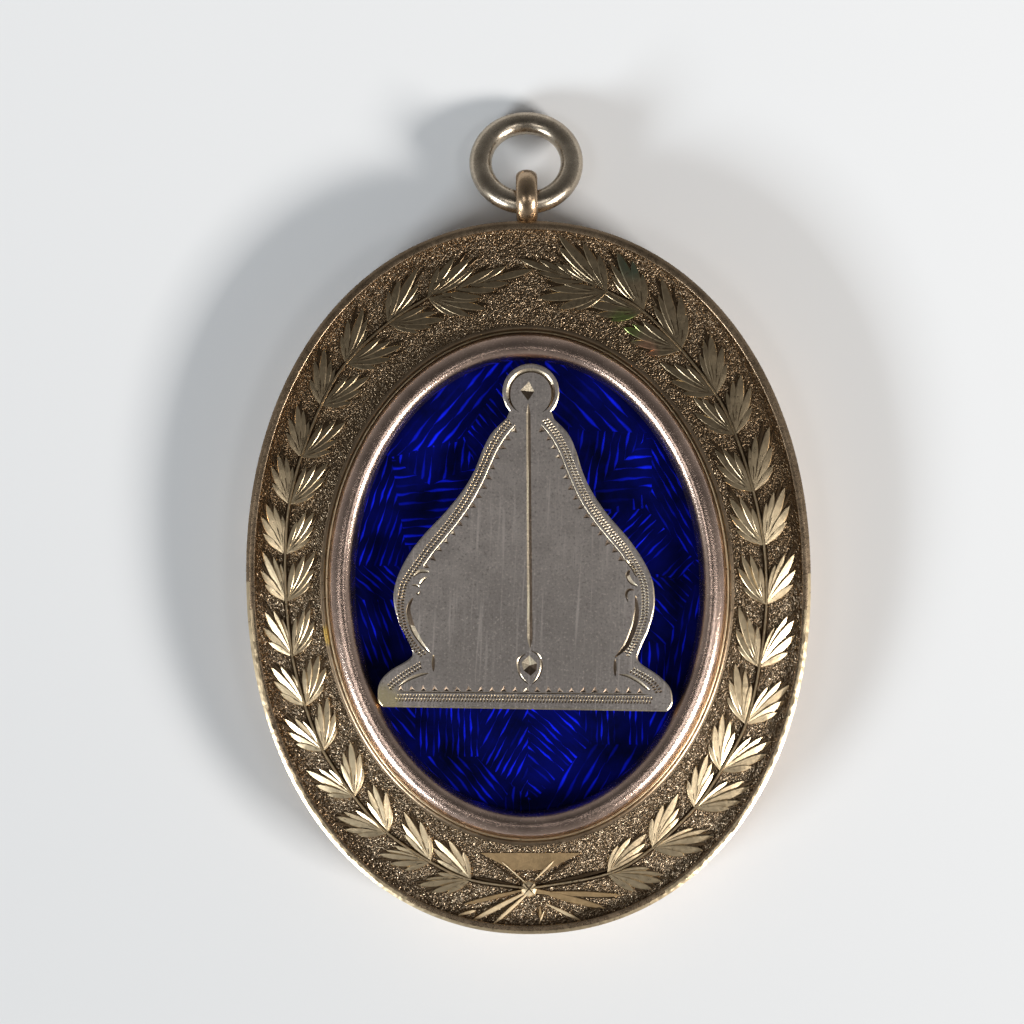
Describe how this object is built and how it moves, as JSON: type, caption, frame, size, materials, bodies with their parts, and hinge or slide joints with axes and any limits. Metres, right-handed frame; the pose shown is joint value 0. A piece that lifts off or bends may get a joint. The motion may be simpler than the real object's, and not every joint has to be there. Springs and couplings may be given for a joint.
{
  "type": "masonic jewel",
  "caption": "Oval silver-gilt collar jewel with a laurel wreath in relief, a blue enamel window, a raised silver plumb and a swinging suspension ring.",
  "frame": {"origin": "centre of the oval on the back face", "axes": "+X to the wearer's left as seen from the front (the viewer's right), +Y up to the suspension ring, +Z out of the front"},
  "size_m": [0.0706, 0.1034, 0.0098],
  "materials": {
    "gilt": "worn and tarnished gilding, matted ground, polished leaves",
    "rose_metal": "polished, tarnished to a rose brown",
    "enamel": "translucent blue enamel over engraved metal",
    "silver": "tarnished satin silver with bright engraving"
  },
  "bodies": {
    "frame": {"frame": "gilt", "back_plate": "gilt", "bezel": "rose_metal", "enamel_panel": "enamel", "plumb_plate": "silver"},
    "ring": {"suspension_ring": "gilt"}
  },
  "joints": [
    {"name": "ring_swing", "type": "hinge", "parent": "frame", "child": "ring", "pos_m": [0.0005, 0.04697, 0.00621], "axis": [1, 0, 0], "range_deg": [-65, 128]}
  ]
}
